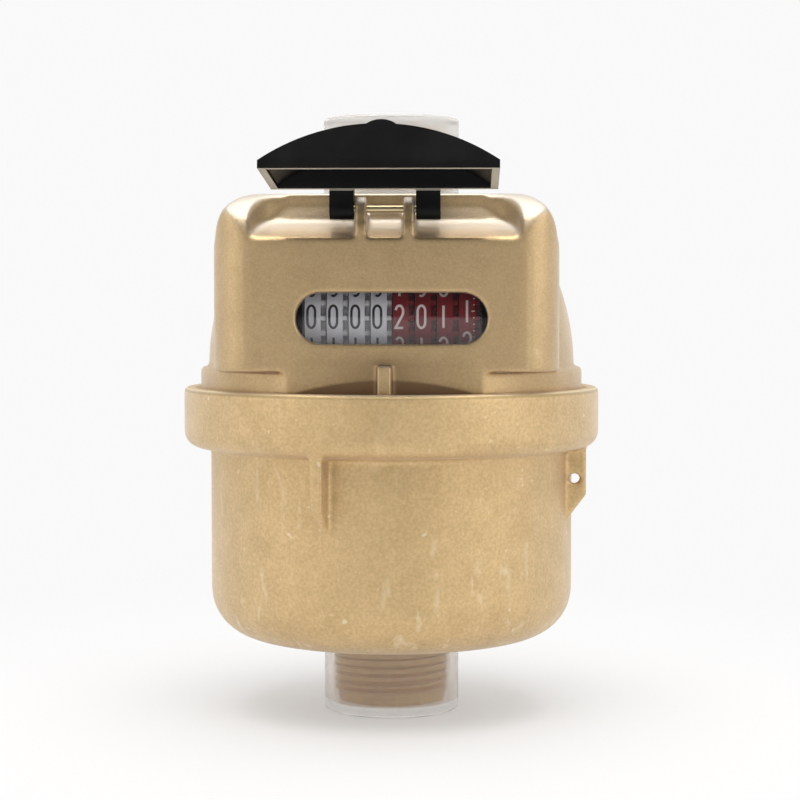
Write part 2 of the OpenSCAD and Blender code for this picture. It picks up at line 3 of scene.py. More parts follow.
import bpy
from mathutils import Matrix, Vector


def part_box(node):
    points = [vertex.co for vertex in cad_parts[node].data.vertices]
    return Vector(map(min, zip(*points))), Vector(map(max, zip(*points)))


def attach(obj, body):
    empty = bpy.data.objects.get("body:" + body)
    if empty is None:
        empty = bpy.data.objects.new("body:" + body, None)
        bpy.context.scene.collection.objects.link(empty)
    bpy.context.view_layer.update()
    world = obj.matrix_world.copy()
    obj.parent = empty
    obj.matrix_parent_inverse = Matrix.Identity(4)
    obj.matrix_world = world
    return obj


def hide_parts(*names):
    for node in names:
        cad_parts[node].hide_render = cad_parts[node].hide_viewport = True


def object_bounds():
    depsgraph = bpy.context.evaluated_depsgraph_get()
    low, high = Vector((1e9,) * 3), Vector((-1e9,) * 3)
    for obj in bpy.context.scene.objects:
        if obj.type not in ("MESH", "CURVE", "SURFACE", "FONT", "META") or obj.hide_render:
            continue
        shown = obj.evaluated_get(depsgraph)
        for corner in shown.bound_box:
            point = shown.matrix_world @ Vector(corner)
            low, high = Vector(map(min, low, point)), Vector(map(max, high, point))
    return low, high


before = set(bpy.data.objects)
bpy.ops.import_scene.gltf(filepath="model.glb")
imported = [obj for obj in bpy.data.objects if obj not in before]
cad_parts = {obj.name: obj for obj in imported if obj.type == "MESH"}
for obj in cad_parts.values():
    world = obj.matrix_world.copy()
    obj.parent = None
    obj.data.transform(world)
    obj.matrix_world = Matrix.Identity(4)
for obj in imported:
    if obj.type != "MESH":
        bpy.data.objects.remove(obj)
cad_low, cad_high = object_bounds()
MM = 0.001


# Brass cup
# The lower casting: cup, ring, gusset, seal lug and lower stub in one piece of blasted brass.
# Its edges are soft and its skin is a fine matte grain with pale specks and, low down, short
# scuffs. The ring's upper edge is rubbed bright, partly wear and partly a painted highlight, with
# a thin line of painted shade below it, and the stub is cut with a pipe thread.
MERGE_DISTANCE = 0.002 * MM
CAST_GRID = 0.45 * MM
CAST_SOFTENING = 5
CAST_TRIANGLES = 180000
THREAD_CREST_R = 13.22 * MM
THREAD_DEPTH = 1.16 * MM
THREAD_PITCH = 1.814 * MM
THREAD_SLACK = 0.1 * MM
CUP_BRASS = (0.71, 0.51, 0.262, 1)
CUP_BRASS_DARK = (0.56, 0.395, 0.193, 1)
CUP_BRASS_PALE = (0.86, 0.74, 0.52, 1)
PIT_RATIO = 0.4
PIT_SHARE = 0.3
SPECK_RATIO = 0.36
SPECK_RANGE = (0.72, 0.8)
SCUFF_TURN = (0.35, 0.7, 0.0)
SCUFF_STRETCH = (1.0, 1.0, 0.3)
SCUFF_RANGE = (0.6, 0.72)
SCUFF_PATCHES = (0.45, 0.56)
SCUFF_FREE_ABOVE = 62 * MM
SCUFFED_BELOW = 22 * MM
SCUFFS_HIGH_UP = 0.2
GRAIN_SHARE = 0.6
TONE_RANGE = (0.35, 0.65)
GLOSS_SPREAD = 0.05
RIM_BRASS_AND_HIGHLIGHT = (0.78, 0.63, 0.39, 1)
RIM_PAINTED_SHADE = (0.40, 0.285, 0.13, 1)
RIM_EDGE = 0.55 * MM
RIM_SHADE_SHARE = 0.7


def only(piece):
    """Select one object alone and make it the active one."""
    bpy.ops.object.select_all(action="DESELECT")
    piece.select_set(True)
    bpy.context.view_layer.objects.active = piece


def applied(piece, kind, **settings):
    """Add a modifier with its settings and apply it at once."""
    only(piece)
    modifier = piece.modifiers.new(kind.lower(), kind)
    for key, value in settings.items():
        setattr(modifier, key, value)
    bpy.ops.object.modifier_apply(modifier=modifier.name)


def edit_all(piece, operator, **settings):
    """Run one edit-mode operator on the whole mesh of a piece."""
    only(piece)
    bpy.ops.object.mode_set(mode="EDIT")
    bpy.ops.mesh.select_all(action="SELECT")
    operator(**settings)
    bpy.ops.object.mode_set(mode="OBJECT")


def cad_copy(name, node):
    """A new object with a copy of a CAD node's mesh, its loose triangles merged."""
    piece = bpy.data.objects.new(name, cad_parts[node].data.copy())
    bpy.context.scene.collection.objects.link(piece)
    only(piece)
    bpy.ops.mesh.customdata_custom_splitnormals_clear()
    edit_all(piece, bpy.ops.mesh.remove_doubles, threshold=MERGE_DISTANCE)
    return piece


def soften_casting(piece):
    """Round every edge a little, as sand casting does, and keep the triangle count in bounds."""
    applied(piece, "SMOOTH", factor=0.5, iterations=CAST_SOFTENING)
    triangles = 2 * len(piece.data.polygons)
    applied(piece, "DECIMATE", ratio=min(1.0, CAST_TRIANGLES / triangles))
    bpy.ops.object.shade_smooth()


def cut_stub_to_root(piece, low_z, high_z):
    """Turn a stub down to the thread's root between two heights, to carry the wound thread."""
    root_r = THREAD_CREST_R - THREAD_DEPTH
    for vertex in piece.data.vertices:
        radius = vertex.co.xy.length
        if low_z < vertex.co.z < high_z and root_r < radius < THREAD_CREST_R + THREAD_SLACK:
            vertex.co.xy *= root_r / radius


def add(tree, kind, inputs=None, **settings):
    """A new shader node with its settings, each input set to a value or linked to a socket."""
    made = tree.nodes.new("ShaderNode" + kind)
    for key, value in settings.items():
        setattr(made, key, value)
    for key, value in (inputs or {}).items():
        if isinstance(value, bpy.types.NodeSocket):
            tree.links.new(value, made.inputs[key])
        else:
            made.inputs[key].default_value = value
    return made


def math_of(tree, operation, a, b=0.0):
    """The result of one Math node."""
    return add(tree, "Math", {0: a, 1: b}, operation=operation).outputs[0]


def ramp(tree, value, low, high, to_low=0.0, to_high=1.0):
    """A value stretched from one range to another and held at its ends."""
    return add(tree, "MapRange", {
        "Value": value, "From Min": low, "From Max": high, "To Min": to_low, "To Max": to_high,
    }).outputs[0]


def mixed(tree, factor, a, b):
    """One colour mixed into another."""
    return add(tree, "Mix", {0: factor, 6: a, 7: b}, data_type="RGBA").outputs[2]


def shader_group(name, inputs, outputs):
    """A new node group with named value inputs and outputs, and its two ends."""
    group = bpy.data.node_groups.new(name, "ShaderNodeTree")
    for label, value in inputs.items():
        socket = group.interface.new_socket(label, in_out="INPUT", socket_type="NodeSocketFloat")
        socket.default_value = value
    for label in outputs:
        group.interface.new_socket(label, in_out="OUTPUT", socket_type="NodeSocketFloat")
    return group, group.nodes.new("NodeGroupInput"), group.nodes.new("NodeGroupOutput")


def material(name, **plain):
    """A new node material with plain Principled sockets set, their spaces as underscores."""
    made = bpy.data.materials.new(name)
    made.use_nodes = True
    shader = made.node_tree.nodes["Principled BSDF"]
    for key, value in plain.items():
        shader.inputs[key.replace("_", " ")].default_value = value
    return made, made.node_tree, shader


def paint(piece, finish):
    """Give a piece one material all over."""
    piece.data.materials.clear()
    piece.data.materials.append(finish)
    for face in piece.data.polygons:
        face.material_index = 0


def build_cast_skin():
    """The skin of blasted brass: grain height, broad tone, pale specks and short scuffs."""
    group, given, out = shader_group(
        "cast_skin", {"Grain": 2600.0, "Mottle": 140.0}, ["Height", "Tone", "Specks", "Scuffs"])
    place = add(group, "TexCoord").outputs["Object"]
    grain = add(group, "TexNoise", {
        "Vector": place, "Scale": given.outputs["Grain"],
        "Detail": 2.0, "Roughness": 0.6}).outputs[0]
    pit_scale = math_of(group, "MULTIPLY", given.outputs["Grain"], PIT_RATIO)
    pits = add(group, "TexVoronoi", {"Vector": place, "Scale": pit_scale}).outputs["Distance"]
    grain_part = math_of(group, "MULTIPLY", grain, 1.0 - PIT_SHARE)
    height = math_of(group, "ADD", grain_part, math_of(group, "MULTIPLY", pits, PIT_SHARE))
    tone = add(group, "TexNoise", {
        "Vector": place, "Scale": given.outputs["Mottle"],
        "Detail": 4.0, "Roughness": 0.6}).outputs[0]
    speck_scale = math_of(group, "MULTIPLY", given.outputs["Grain"], SPECK_RATIO)
    speck = add(group, "TexNoise", {
        "Vector": place, "Scale": speck_scale, "Detail": 1.0}).outputs[0]
    specks = ramp(group, speck, *SPECK_RANGE)
    slanted = add(group, "Mapping", {
        "Vector": place, "Rotation": SCUFF_TURN, "Scale": SCUFF_STRETCH}).outputs[0]
    streak = add(group, "TexNoise", {
        "Vector": slanted, "Scale": 300.0, "Detail": 3.0, "Distortion": 0.8}).outputs[0]
    patch = add(group, "TexNoise", {"Vector": place, "Scale": 55.0, "Detail": 1.0}).outputs[0]
    up = add(group, "SeparateXYZ", {0: place}).outputs["Z"]
    knocked = ramp(group, up, SCUFF_FREE_ABOVE, SCUFFED_BELOW, SCUFFS_HIGH_UP, 1.0)
    in_patches = math_of(group, "MULTIPLY", knocked, ramp(group, patch, *SCUFF_PATCHES))
    scuffs = math_of(group, "MULTIPLY", ramp(group, streak, *SCUFF_RANGE), in_patches)
    fine = math_of(group, "MULTIPLY", grain, GRAIN_SHARE)
    broad = math_of(group, "MULTIPLY", tone, 1.0 - GRAIN_SHARE)
    patchy = math_of(group, "ADD", fine, broad)
    group.links.new(height, out.inputs["Height"])
    group.links.new(ramp(group, patchy, *TONE_RANGE), out.inputs["Tone"])
    group.links.new(specks, out.inputs["Specks"])
    group.links.new(scuffs, out.inputs["Scuffs"])
    return group


cast_skin = build_cast_skin()


def cast_brass(name, grain, mottle, colours, metal, roughness, relief, marks):
    """Blasted brass: its tone drifts between two colours, with pale specks and scuffs."""
    dark, plain, pale = colours
    finish, tree, shader = material(name, Metallic=metal, Sheen_Weight=0.35, Sheen_Roughness=0.5)
    skin = tree.nodes.new("ShaderNodeGroup")
    skin.node_tree = cast_skin
    skin.inputs["Grain"].default_value = grain
    skin.inputs["Mottle"].default_value = mottle
    base = mixed(tree, skin.outputs["Tone"], dark, plain)
    wear = math_of(tree, "MAXIMUM", skin.outputs["Specks"], skin.outputs["Scuffs"])
    colour = mixed(tree, math_of(tree, "MULTIPLY", wear, marks), base, pale)
    tree.links.new(colour, shader.inputs["Base Color"])
    dullness = ramp(
        tree, skin.outputs["Tone"], 0, 1, roughness + GLOSS_SPREAD, roughness - GLOSS_SPREAD)
    tree.links.new(dullness, shader.inputs["Roughness"])
    bump = add(tree, "Bump", {
        "Strength": relief, "Distance": 0.1 * MM, "Height": skin.outputs["Height"]})
    tree.links.new(bump.outputs[0], shader.inputs["Normal"])
    return finish


cup_low, cup_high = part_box("body")
stub_low_z = cup_low.z
stub_high_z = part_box("inlet_cap")[1].z
cup = cad_copy("brass_cup", "body")
cut_stub_to_root(cup, stub_low_z - MM, stub_high_z)
applied(cup, "REMESH", mode="VOXEL", voxel_size=CAST_GRID)
soften_casting(cup)
cup_brass = cast_brass(
    "cup_brass", grain=1500.0, mottle=160.0, colours=(CUP_BRASS_DARK, CUP_BRASS, CUP_BRASS_PALE),
    metal=0.85, roughness=0.5, relief=0.6, marks=0.6)
cup_tree = cup_brass.node_tree
cup_shader = cup_tree.nodes["Principled BSDF"]
cup_colour = cup_shader.inputs["Base Color"].links[0].from_socket
cup_place = add(cup_tree, "TexCoord").outputs["Object"]
from_axis = add(cup_tree, "VectorMath", {0: cup_place, 1: (1, 1, 0)}, operation="MULTIPLY")
rim_distance = add(
    cup_tree, "VectorMath", {0: from_axis.outputs[0]}, operation="LENGTH").outputs["Value"]
ring_r = (cup_high.x - cup_low.x) / 2
# Painted highlight on the ring's upper edge, partly wear, over a thin line of painted shade.
outermost = ramp(cup_tree, rim_distance, ring_r - 2 * RIM_EDGE, ring_r - RIM_EDGE)
cup_z = add(cup_tree, "SeparateXYZ", {0: cup_place}).outputs["Z"]
below_rim = ramp(cup_tree, cup_z, cup_high.z - 2 * RIM_EDGE, cup_high.z - 1.5 * RIM_EDGE)
shade_line = math_of(cup_tree, "MULTIPLY", below_rim, RIM_SHADE_SHARE)
creased_shade = math_of(cup_tree, "MULTIPLY", outermost, shade_line)
uppermost = ramp(cup_tree, cup_z, cup_high.z - RIM_EDGE, cup_high.z - RIM_EDGE / 2)
rubbed_and_highlight = math_of(cup_tree, "MULTIPLY", outermost, uppermost)
rim_colour = mixed(cup_tree, rubbed_and_highlight, mixed(cup_tree, creased_shade, cup_colour, RIM_PAINTED_SHADE), RIM_BRASS_AND_HIGHLIGHT)
cup_tree.links.new(rim_colour, cup_shader.inputs["Base Color"])
paint(cup, cup_brass)
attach(cup, "meter")
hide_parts("body")


# Pipe threads
# A G3/4 thread on each stub, cut on the lathe: a ridge of triangular section wound at the
# thread's pitch on the root of the stub, brighter than the casting round it.
THREAD_BRASS = (0.66, 0.48, 0.24, 1)
THREAD_RUN_OUT = 1.2 * MM
THREAD_STEPS = 64
RIDGE_SHARE = 0.98


def wind_thread(name, low_z, high_z):
    """A closed helical ridge between two heights, wound with a Screw modifier from a triangle."""
    root_r = THREAD_CREST_R - THREAD_DEPTH
    turns = int((high_z - low_z - THREAD_PITCH) / THREAD_PITCH)
    bpy.ops.object.select_all(action="DESELECT")
    bpy.ops.mesh.primitive_circle_add(vertices=3, radius=1.0)
    ridge = bpy.context.object
    ridge.name = name
    half = THREAD_PITCH / 2
    sunk_r = root_r - THREAD_SLACK
    corners = [(sunk_r, -half), (THREAD_CREST_R, 0.0), (sunk_r, half)]
    for vertex, (radius, height) in zip(ridge.data.vertices, corners):
        vertex.co = (radius, 0.0, low_z + half + height * RIDGE_SHARE)
    applied(ridge, "SCREW", angle=2 * math.pi, screw_offset=THREAD_PITCH, iterations=turns,
            steps=THREAD_STEPS, render_steps=THREAD_STEPS, use_smooth_shade=False)
    bpy.ops.object.mode_set(mode="EDIT")
    bpy.ops.mesh.select_all(action="DESELECT")
    bpy.ops.mesh.select_non_manifold()
    bpy.ops.mesh.fill()
    bpy.ops.object.mode_set(mode="OBJECT")
    edit_all(ridge, bpy.ops.mesh.normals_make_consistent, inside=False)
    return ridge


thread_brass = cast_brass(
    "thread_brass", grain=5200.0, mottle=300.0, colours=(CUP_BRASS, THREAD_BRASS, CUP_BRASS_PALE),
    metal=0.9, roughness=0.36, relief=0.15, marks=0.3)
head_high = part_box("head")[1]
outlet_stub_low_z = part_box("outlet_cap")[0].z
for thread_name, low_z, high_z in (
        ("inlet_thread", stub_low_z + THREAD_RUN_OUT, stub_high_z - THREAD_RUN_OUT),
        ("outlet_thread", outlet_stub_low_z + THREAD_RUN_OUT, head_high.z - THREAD_RUN_OUT)):
    thread = wind_thread(thread_name, low_z, high_z)
    paint(thread, thread_brass)
    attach(thread, "meter")


# Brass head
# The upper casting: a dome that carries the flat-faced register box, the hinge ribs and the
# upper stub, in the same brass with a smoother skin. The up-facing recess on top is paler and
# duller, partly a milled finish and partly a painted highlight. The foot of the face gets painted
# shade, darkest in a low bow behind the ring.
HEAD_BRASS = (0.605, 0.435, 0.23, 1)
HEAD_BRASS_DARK = (0.49, 0.345, 0.18, 1)
HEAD_BRASS_PALE = (0.72, 0.59, 0.39, 1)
RECESS_BRASS_AND_HIGHLIGHT = (0.57, 0.51, 0.43, 1)
RECESS_DROP = 10 * MM
RECESS_EASE = 2 * MM
RECESS_TILT = (0.15, 0.6)
RECESS_ROUGHNESS = 0.58
HEAD_PAINTED_SHADE = (0.27, 0.18, 0.09, 1)
SHADE_TOP = 10 * MM
SHADE_FULL = 6 * MM
SHADE_REACH = 20 * MM
SHADE_SHARE = 0.75
FOOT_PAINTED_SHADE = (0.20, 0.125, 0.065, 1)
FOOT_RISE = 2.7 * MM
FOOT_REACH = 19 * MM
FOOT_EASE = 0.3 * MM
FACE_Y = -38 * MM
FACE_DEPTH = 3 * MM
NUB_CLEAR = 1.2 * MM
NUB_FOOT = 0.4 * MM
SHOULDER_X = 21 * MM
SHOULDER_DROP = 13 * MM
SHOULDER_SOFTENING = 30


def soften_shoulders(piece, low_z, high_z):
    """Round the corners of the register box and the ends of the trough further than the rest."""
    shoulders = piece.vertex_groups.new(name="shoulders")
    chosen = [
        vertex.index for vertex in piece.data.vertices
        if abs(vertex.co.x) > SHOULDER_X and low_z < vertex.co.z < high_z]
    shoulders.add(chosen, 1.0, "REPLACE")
    applied(piece, "SMOOTH", factor=0.5, iterations=SHOULDER_SOFTENING, vertex_group="shoulders")


def mark_recess(piece, low_z):
    """Store how far each point belongs to the milled recess and its painted highlight: high on the
    head and facing up.
    """
    mask = piece.data.attributes.new("recess", "FLOAT", "POINT")
    least, most = RECESS_TILT
    for vertex in piece.data.vertices:
        rise = (vertex.co.z - low_z) / RECESS_EASE
        tilt = (vertex.normal.z - least) / (most - least)
        mask.data[vertex.index].value = max(0.0, min(1.0, rise)) * max(0.0, min(1.0, tilt))


head = cad_copy("brass_head", "head")
cut_stub_to_root(head, outlet_stub_low_z, head_high.z + MM)
applied(head, "REMESH", mode="VOXEL", voxel_size=CAST_GRID)
soften_shoulders(head, outlet_stub_low_z - SHOULDER_DROP, head_high.z)
soften_casting(head)
mark_recess(head, outlet_stub_low_z - RECESS_DROP)
head_brass = cast_brass(
    "head_brass", grain=2300.0, mottle=160.0,
    colours=(HEAD_BRASS_DARK, HEAD_BRASS, HEAD_BRASS_PALE),
    metal=0.9, roughness=0.42, relief=0.45, marks=0.3)
head_tree = head_brass.node_tree
head_shader = head_tree.nodes["Principled BSDF"]
cast_colour = head_shader.inputs["Base Color"].links[0].from_socket
head_object = add(head_tree, "TexCoord").outputs["Object"]
head_place = add(head_tree, "SeparateXYZ", {0: head_object}).outputs
# Painted shade on the face: a broad darkening low down in the middle, kept off the nub, and a
# darker bow just above the ring.
low_down = ramp(
    head_tree, head_place["Z"], cup_high.z + SHADE_TOP, cup_high.z + SHADE_FULL, 0.0, SHADE_SHARE)
midway = ramp(head_tree, math_of(head_tree, "ABSOLUTE", head_place["X"]), SHADE_REACH, 0.0)
off_nub = ramp(head_tree, head_place["Y"], FACE_Y - NUB_CLEAR, FACE_Y - NUB_FOOT)
in_front = ramp(head_tree, head_place["Y"], FACE_Y + FACE_DEPTH, FACE_Y + FACE_DEPTH / 2)
on_face = math_of(head_tree, "MULTIPLY", off_nub, in_front)
shade_spread = math_of(head_tree, "MULTIPLY", low_down, midway)
painted_shade = math_of(head_tree, "MULTIPLY", shade_spread, on_face)
face_shaded_colour = mixed(head_tree, painted_shade, cast_colour, HEAD_PAINTED_SHADE)
bow_x = math_of(head_tree, "MULTIPLY", head_place["X"], head_place["X"])
bow_z = ramp(head_tree, bow_x, 0.0, FOOT_REACH ** 2, cup_high.z + FOOT_RISE, cup_high.z)
above_bow = math_of(head_tree, "SUBTRACT", head_place["Z"], bow_z)
under_bow = ramp(head_tree, above_bow, FOOT_EASE, -FOOT_EASE)
foot_shade = math_of(head_tree, "MULTIPLY", under_bow, on_face)
foot_shaded_colour = mixed(head_tree, foot_shade, face_shaded_colour, FOOT_PAINTED_SHADE)
# Paler up-facing surfaces high on the head: the colour is partly a milled finish and partly a
# painted highlight; the roughness is raised there as well.
milled_and_highlight = add(head_tree, "Attribute", attribute_name="recess").outputs["Fac"]
head_colour = mixed(head_tree, milled_and_highlight, foot_shaded_colour, RECESS_BRASS_AND_HIGHLIGHT)
head_tree.links.new(head_colour, head_shader.inputs["Base Color"])
cast_roughness = head_shader.inputs["Roughness"].links[0].from_socket
dulled = math_of(head_tree, "MULTIPLY", milled_and_highlight, RECESS_ROUGHNESS)
head_roughness = math_of(head_tree, "MAXIMUM", cast_roughness, dulled)
head_tree.links.new(head_roughness, head_shader.inputs["Roughness"])
paint(head, head_brass)
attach(head, "meter")
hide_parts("head")


# Lid and hinge pin
# A flip lid moulded in black plastic: an arched shell with end walls, open below, on two arms.
# Its edges are broken by a small radius and the rim below is painted pale as a highlight. A drawn
# pin carries it.
LID_EDGE_R = 0.35 * MM
LID_BLACK = (0.004, 0.0038, 0.004, 1)
LID_DUSTY = (0.008, 0.0076, 0.0077, 1)
LID_RIM_HIGHLIGHT = (0.36, 0.33, 0.28, 1)
LID_TILT = math.radians(5.4)
LID_RIM_RISE = 3.6 * MM
LID_RIM_BAND = 0.3 * MM
LID_RIM_FACING = 0.98
FLAT_ANGLE = math.radians(0.5)
EDGE_ANGLE = math.radians(40)
DUST_RANGE = (0.45, 0.8)
DRIFT_RANGE = (0.3, 0.7)
MOULD_SHINIER = 0.04
MOULD_DULLER = 0.06
DRAWN_SHINIER = 0.05
DRAWN_DULLER = 0.1
PIN_BRASS = (0.62, 0.50, 0.30, 1)
SHAFT_STEEL = (0.58, 0.58, 0.60, 1)


def break_edges(piece, radius, segments):
    """Clear the triangles off flat faces, bevel the sharp edges and shade the rest smooth."""
    edit_all(piece, bpy.ops.mesh.dissolve_limited, angle_limit=FLAT_ANGLE)
    applied(piece, "BEVEL", width=radius, segments=segments, limit_method="ANGLE",
            angle_limit=EDGE_ANGLE)
    bpy.ops.object.shade_smooth_by_angle(angle=EDGE_ANGLE)


def moulded_plastic(name, plain, dusty, roughness, relief, gloss=0.5, **more):
    """Moulded plastic: a faint uneven gloss over a very fine texture, and dust if there is any."""
    finish, tree, shader = material(name, Base_Color=plain, Specular_IOR_Level=gloss, **more)
    place = add(tree, "TexCoord").outputs["Object"]
    drift = add(tree, "TexNoise", {"Vector": place, "Scale": 120.0, "Detail": 4.0}).outputs[0]
    if dusty:
        colour = mixed(tree, ramp(tree, drift, *DUST_RANGE), plain, dusty)
        tree.links.new(colour, shader.inputs["Base Color"])
    dullness = ramp(
        tree, drift, *DRIFT_RANGE, roughness - MOULD_SHINIER, roughness + MOULD_DULLER)
    tree.links.new(dullness, shader.inputs["Roughness"])
    grain = add(tree, "TexNoise", {"Vector": place, "Scale": 4500.0, "Detail": 2.0}).outputs[0]
    bump = add(tree, "Bump", {"Strength": relief, "Distance": 0.05 * MM, "Height": grain})
    tree.links.new(bump.outputs[0], shader.inputs["Normal"])
    return finish


lid = cad_copy("flip_lid", "lid")
break_edges(lid, LID_EDGE_R, segments=3)
paint(lid, moulded_plastic(
    "lid_black", LID_BLACK, LID_DUSTY, roughness=0.4, relief=0.12, gloss=0.13))
# The rim's downward faces get a pale material: a painted highlight.
lid.data.materials.append(moulded_plastic(
    "lid_rim", LID_RIM_HIGHLIGHT, dusty=None, roughness=0.4, relief=0.12))
pin_low, pin_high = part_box("hinge_pin")
rim_down = Vector((0, -math.sin(LID_TILT), -math.cos(LID_TILT)))
rim_level = rim_down.dot((pin_low + pin_high) / 2) - LID_RIM_RISE
for face in lid.data.polygons:
    level = rim_down.dot(face.center)
    if face.normal.dot(rim_down) > LID_RIM_FACING and abs(level - rim_level) < LID_RIM_BAND:
        face.material_index = 1
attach(lid, "lid")
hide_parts("lid")


def drawn_metal(name, colour, roughness):
    """Drawn metal: a bright surface with fine lines along X."""
    finish, tree, shader = material(name, Metallic=1.0, Base_Color=colour)
    place = add(tree, "TexCoord").outputs["Object"]
    along = add(tree, "Mapping", {"Vector": place, "Scale": (0.05, 1.0, 1.0)}).outputs[0]
    lines = add(tree, "TexNoise", {"Vector": along, "Scale": 5000.0, "Detail": 2.0}).outputs[0]
    dullness = ramp(
        tree, lines, *DRIFT_RANGE, roughness - DRAWN_SHINIER, roughness + DRAWN_DULLER)
    tree.links.new(dullness, shader.inputs["Roughness"])
    bump = add(tree, "Bump", {"Strength": 0.15, "Distance": 0.02 * MM, "Height": lines})
    tree.links.new(bump.outputs[0], shader.inputs["Normal"])
    return finish


pin_brass = drawn_metal("pin_brass", PIN_BRASS, roughness=0.3)
drawn_steel = drawn_metal("drawn_steel", SHAFT_STEEL, roughness=0.28)
paint(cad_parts["hinge_pin"], pin_brass)
for name in ("drum_shaft", "pinion_shaft", "division_plate"):
    paint(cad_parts[name], drawn_steel)


# Number drums
# Moulded drums on one shaft, grey-white for whole units and dark red for fractions. The figures
# are printed on each rim, the next one below the one that shows, and the fastest drum also has a
# scale along its right edge. They show 00002011, the last one on its way to 2.
SHOWN = (0, 0, 0, 0, 2, 0, 1, 1.17)
WHITE_DRUMS = 4
DRUM_WHITE = (0.84, 0.84, 0.90, 1)
DRUM_WHITE_DUSTY = (0.74, 0.735, 0.78, 1)
DRUM_TEETH_PAINTED_LIGHT = (0.93, 0.93, 0.96, 1)
TEETH_SCATTER = 2 * MM
DRUM_RED = (0.26, 0.008, 0.014, 1)
DRUM_RED_DUSTY = (0.21, 0.010, 0.016, 1)
INK_BLACK = (0.02, 0.02, 0.022, 1)
INK_WHITE = (0.88, 0.78, 0.78, 1)
FIGURE_H = 4.75 * MM
FIGURE_W = 1.62 * MM
FIGURE_STROKE = 0.52 * MM
FIGURE_SHIFT = -0.3 * MM
LAST_SHIFT = 0.3 * MM
FIGURE_LIFT = 0.03 * MM
FIGURES = 10
FIGURE_STEP = math.radians(360 / FIGURES)
ROLLED_ON = 0.045
STROKE_PIECE = 0.5 * MM
LEAST_SPREAD = 0.55
TICKS_PER_FIGURE = 5
TICK_LONG = 0.75 * MM
TICK_SHORT = 0.4 * MM
TICK_STROKE = 0.2 * MM
TICK_INSET = 0.05 * MM
GEAR_W = 1.0 * MM
GEAR_SLACK = 0.05 * MM


def arc_points(cx, cy, rx, ry, start, end, count):
    """Points along an arc of an ellipse, angles in degrees."""
    turn = [math.radians(start + (end - start) * i / count) for i in range(count + 1)]
    return [(cx + rx * math.cos(a), cy + ry * math.sin(a)) for a in turn]


def figure_strokes(figure):
    """Centre lines of one figure, drawn in a box 1 wide and 2 high and then brought to size."""
    half, top = 0.5, 1.0
    strokes = {
        0: [arc_points(0, 0.45, half, 0.55, 0, 180, 14)
            + arc_points(0, -0.45, half, 0.55, 180, 360, 14) + [(half, 0.45)]],
        1: [[(0, top), (0, -top)]],
        2: [arc_points(0, 0.45, half, 0.55, 165, -30, 12) + [(-half, -top), (half, -top)]],
        3: [arc_points(0, 0.5, 0.46, 0.5, 150, -90, 12),
            arc_points(0, -0.48, half, 0.52, 90, -155, 14)],
        4: [[(0.22, -top), (0.22, top), (-half, -0.42), (half, -0.42)]],
        5: [[(0.44, top), (-0.4, top), (-0.46, 0.1)]
            + arc_points(0, -0.38, half, 0.62, 140, -150, 14)],
        6: [arc_points(0, 0.3, half, 0.7, 60, 180, 10)
            + arc_points(0, -0.45, half, 0.55, 180, 540, 20)],
        7: [[(-half, top), (half, top), (-0.16, -top)]],
        8: [arc_points(0, 0.5, 0.44, 0.5, -90, 270, 20),
            arc_points(0, -0.5, half, 0.5, 90, 450, 20)],
        9: [arc_points(0, 0.45, half, 0.55, 0, 360, 20)
            + arc_points(0, -0.3, half, 0.7, 0, -120, 10)],
    }
    return [[(x * FIGURE_W, y * FIGURE_H / 2) for x, y in line] for line in strokes[figure]]


def ribbon(line, width):
    """Left and right edges of a stroke of even width along a line of points."""
    left, right = [], []
    for i, point in enumerate(line):
        before = Vector(line[max(i - 1, 0)])
        after = Vector(line[min(i + 1, len(line) - 1)])
        along = (after - before).normalized()
        here = Vector(point)
        if 0 < i < len(line) - 1:
            first = (here - before).normalized()
            spread = max(LEAST_SPREAD, abs(first.dot(along)))
        else:
            spread = 1.0
        side = Vector((-along.y, along.x)) * width / 2 / spread
        left.append(here + side)
        right.append(here - side)
    return left, right


def split_line(line, longest):
    """The same line with extra points, so that it bends with the rim."""
    points = [line[0]]
    for start, end in zip(line, line[1:]):
        pieces = max(1, math.ceil((Vector(end) - Vector(start)).length / longest))
        points += [
            tuple(Vector(start).lerp(Vector(end), k / pieces)) for k in range(1, pieces + 1)]
    return points


def print_on_rim(name, marks, centre, radius):
    """A thin raised print on a rim: each mark is (x, angle below the front, line, width)."""
    corners, faces = [], []
    for x, angle, line, width in marks:
        left, right = ribbon(split_line(line, STROKE_PIECE), width)
        first = len(corners)
        for edge_l, edge_r in zip(left, right):
            for lift in (-FIGURE_LIFT, FIGURE_LIFT):
                for point in (edge_l, edge_r):
                    turn = angle - point.y / radius
                    reach = radius + lift
                    corners.append((
                        centre.x + x + point.x,
                        centre.y - reach * math.cos(turn),
                        centre.z - reach * math.sin(turn)))
        last = first + 4 * (len(left) - 1)
        faces += [(first, first + 1, first + 3, first + 2), (last, last + 2, last + 3, last + 1)]
        for a in range(first, last, 4):
            b = a + 4
            faces += [(a, b, b + 1, a + 1), (a + 2, a + 3, b + 3, b + 2),
                      (a, a + 2, b + 2, b), (a + 1, b + 1, b + 3, a + 3)]
    mesh = bpy.data.meshes.new(name)
    mesh.from_pydata(corners, [], faces)
    piece = bpy.data.objects.new(name, mesh)
    bpy.context.scene.collection.objects.link(piece)
    edit_all(piece, bpy.ops.mesh.normals_make_consistent, inside=False)
    return piece


